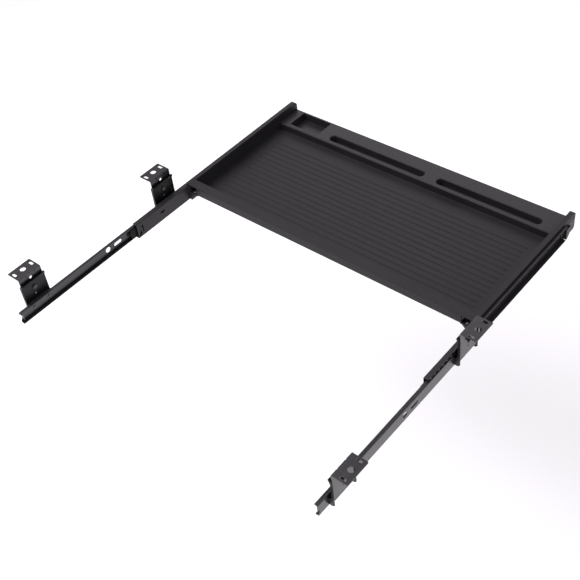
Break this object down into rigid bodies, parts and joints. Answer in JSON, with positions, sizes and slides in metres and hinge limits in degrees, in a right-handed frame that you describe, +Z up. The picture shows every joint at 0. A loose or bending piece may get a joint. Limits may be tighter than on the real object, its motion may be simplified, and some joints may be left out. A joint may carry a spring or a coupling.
{
  "type": "under-desk keyboard tray",
  "caption": "Slide-out keyboard tray that hangs under a desk top on ball-bearing slides and height-adjustable brackets, with a pocket and pen grooves.",
  "frame": {"origin": "centre of the four big round hanger holes, on the plane of the desk's underside", "axes": "+X to the user's right, -Y towards the user, +Z up into the desk top; drawn with the tray pulled out"},
  "size_m": [0.7956, 0.796, 0.087],
  "materials": {
    "tray_plastic": "fine-textured moulded charcoal",
    "slide_steel": "black electro-coated, semi-gloss",
    "bracket_steel": "black powder-coated, satin",
    "retainer_steel": "black, matte",
    "ball_steel": "polished, greased",
    "fastener_steel": "black oxide, semi-gloss",
    "screw_zinc": "bright zinc plated",
    "bumper_rubber": "matte black"
  },
  "bodies": {
    "hangers": {"hanger_front_left": "bracket_steel", "hanger_front_right": "bracket_steel", "hanger_rear_left": "bracket_steel", "hanger_rear_right": "bracket_steel"},
    "rails": {"slide_bracket_front_left": "bracket_steel", "slide_bracket_front_right": "bracket_steel", "slide_bracket_rear_left": "bracket_steel", "slide_bracket_rear_right": "bracket_steel", "fixed_rail_left": "slide_steel", "fixed_rail_right": "slide_steel", "bracket_rivets_left": "fastener_steel", "bracket_rivets_right": "fastener_steel", "height_bolts_left": "fastener_steel", "height_bolts_right": "fastener_steel", "height_nuts_left": "fastener_steel", "height_nuts_right": "fastener_steel"},
    "retainer_left": {"ball_retainer_left": "retainer_steel", "slide_balls_left": "ball_steel"},
    "retainer_right": {"ball_retainer_right": "retainer_steel", "slide_balls_right": "ball_steel"},
    "tray": {"tray_shell": "tray_plastic", "slide_channel_left": "slide_steel", "slide_channel_right": "slide_steel", "end_bumper_left": "bumper_rubber", "end_bumper_right": "bumper_rubber", "channel_screws_left": "fastener_steel", "channel_screws_right": "fastener_steel", "lug_screw_left": "screw_zinc", "lug_screw_right": "screw_zinc"}
  },
  "joints": [
    {"name": "height_adjust", "type": "slide", "parent": "hangers", "child": "rails", "axis": [0, 0, 1], "range_m": [-0.008, 0.008]},
    {"name": "tray_slide", "type": "slide", "parent": "rails", "child": "tray", "axis": [0, 1, 0], "range_m": [0, 0.29]},
    {"name": "retainer_left_roll", "type": "slide", "parent": "rails", "child": "retainer_left", "axis": [0, 1, 0], "range_m": [0, 0.145]},
    {"name": "retainer_right_roll", "type": "slide", "parent": "rails", "child": "retainer_right", "axis": [0, 1, 0], "range_m": [0, 0.145]}
  ],
  "couplings": [
    {"joint": "retainer_left_roll", "follows": "tray_slide", "ratio": 0.5},
    {"joint": "retainer_right_roll", "follows": "tray_slide", "ratio": 0.5}
  ]
}
